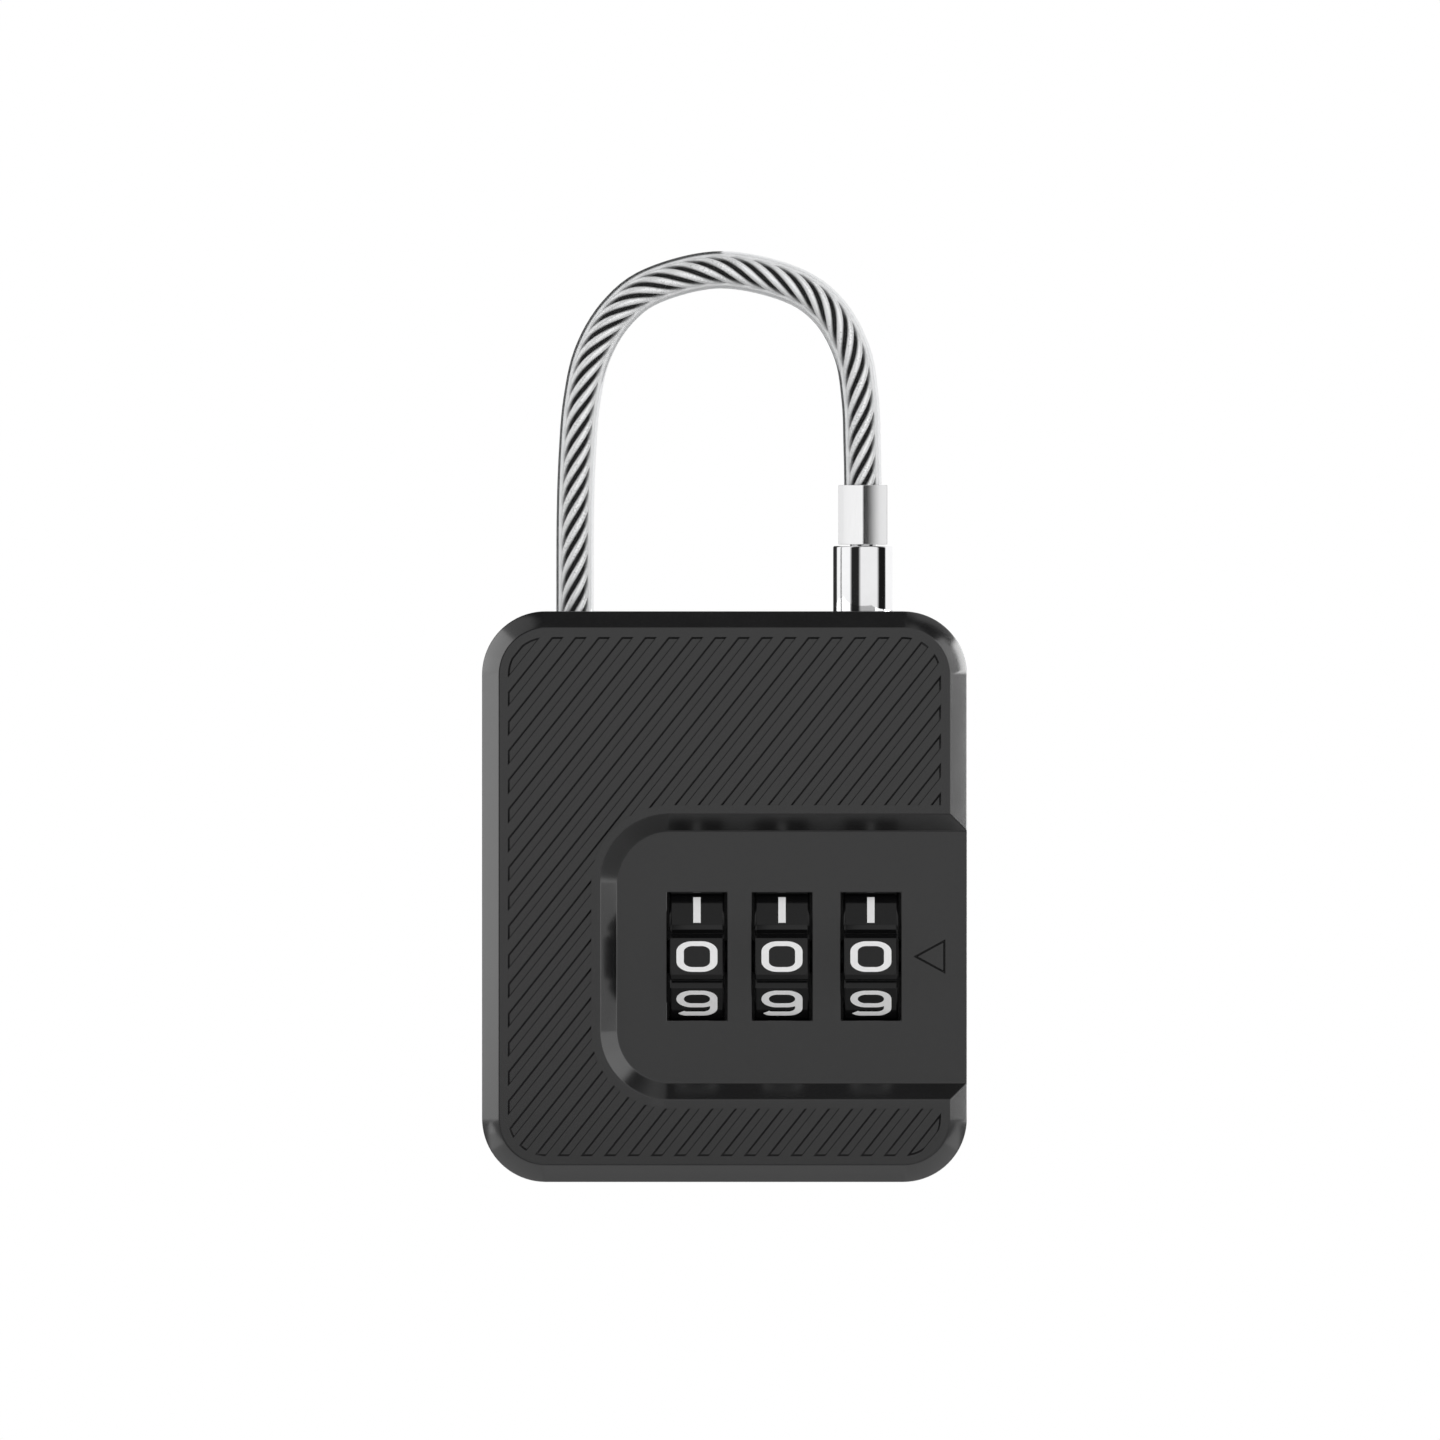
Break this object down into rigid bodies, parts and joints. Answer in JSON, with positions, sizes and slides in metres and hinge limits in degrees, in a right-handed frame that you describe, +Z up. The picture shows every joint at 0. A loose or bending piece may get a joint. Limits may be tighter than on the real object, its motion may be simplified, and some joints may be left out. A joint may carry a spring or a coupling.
{
  "type": "cable luggage lock",
  "caption": "Small upright padlock with a coated wire-rope shackle, number wheels in a sunken panel and a plug-in cable end.",
  "frame": {"origin": "middle of the body's bottom face", "axes": "+X to the right of the front, +Y to the back, +Z up"},
  "size_m": [0.0306, 0.013, 0.0585],
  "materials": {
    "body_paint": "satin black coat on die-cast zinc",
    "cover_paint": "satin black coat on die-cast zinc",
    "screw_steel": "black oxide",
    "cast_zinc": "as cast",
    "satin_steel": "satin",
    "spring_steel": "blued",
    "brass": "turned",
    "coated_rope": "bright wire rope in a clear coat",
    "wheel_plastic": "black with pale numerals",
    "chrome": "mirror bright",
    "satin_aluminium": "satin"
  },
  "bodies": {
    "case": {"front_shell": "body_paint", "rear_cover": "cover_paint", "rear_screw_1": "screw_steel", "rear_screw_2": "screw_steel", "rear_screw_3": "screw_steel", "rear_screw_4": "screw_steel", "dial_carriage": "cast_zinc", "carriage_screw_1": "satin_steel", "carriage_screw_2": "satin_steel", "detent_spring": "spring_steel", "detent_rivet_1": "satin_steel", "detent_rivet_2": "satin_steel", "socket_sleeve": "brass", "anchor_ferrule": "satin_steel", "latch_spring": "spring_steel", "reset_spring": "spring_steel", "steel_cable": "coated_rope"},
    "dial_1": {"number_wheel_1": "wheel_plastic", "code_hub_1": "brass"},
    "dial_2": {"number_wheel_2": "wheel_plastic", "code_hub_2": "brass"},
    "dial_3": {"number_wheel_3": "wheel_plastic", "code_hub_3": "brass"},
    "plug": {"plug_pin": "satin_steel", "plug_collar": "chrome", "crimp_ferrule": "satin_aluminium"},
    "latch": {"latch_spindle": "satin_steel", "spindle_clip": "spring_steel", "latch_plate": "satin_steel"},
    "reset": {"reset_pin": "satin_steel"}
  },
  "joints": [
    {"name": "dial_1_turn", "type": "hinge", "parent": "case", "child": "dial_1", "pos_m": [-0.00173, -0.0015, 0.01418], "axis": [1, 0, 0], "continuous": true},
    {"name": "dial_2_turn", "type": "hinge", "parent": "case", "child": "dial_2", "pos_m": [0.00362, -0.0015, 0.01418], "axis": [1, 0, 0], "continuous": true},
    {"name": "dial_3_turn", "type": "hinge", "parent": "case", "child": "dial_3", "pos_m": [0.00921, -0.0015, 0.01418], "axis": [1, 0, 0], "continuous": true},
    {"name": "plug_pull", "type": "slide", "parent": "case", "child": "plug", "axis": [0, 0, 1], "range_m": [0, 0.0082], "deforming": ["steel_cable"]},
    {"name": "latch_slide", "type": "slide", "parent": "case", "child": "latch", "axis": [-1, 0, 0], "range_m": [0, 0.0015], "deforming": ["latch_spring"]},
    {"name": "reset_push", "type": "slide", "parent": "case", "child": "reset", "axis": [-1, 0, 0], "range_m": [0, 0.00075], "stiffness_N_per_m": 200, "springref_m": -0.0005, "deforming": ["reset_spring"]}
  ],
  "couplings": [
    {"joint": "latch_slide", "follows": "plug_pull", "ratio": 0.1829}
  ]
}
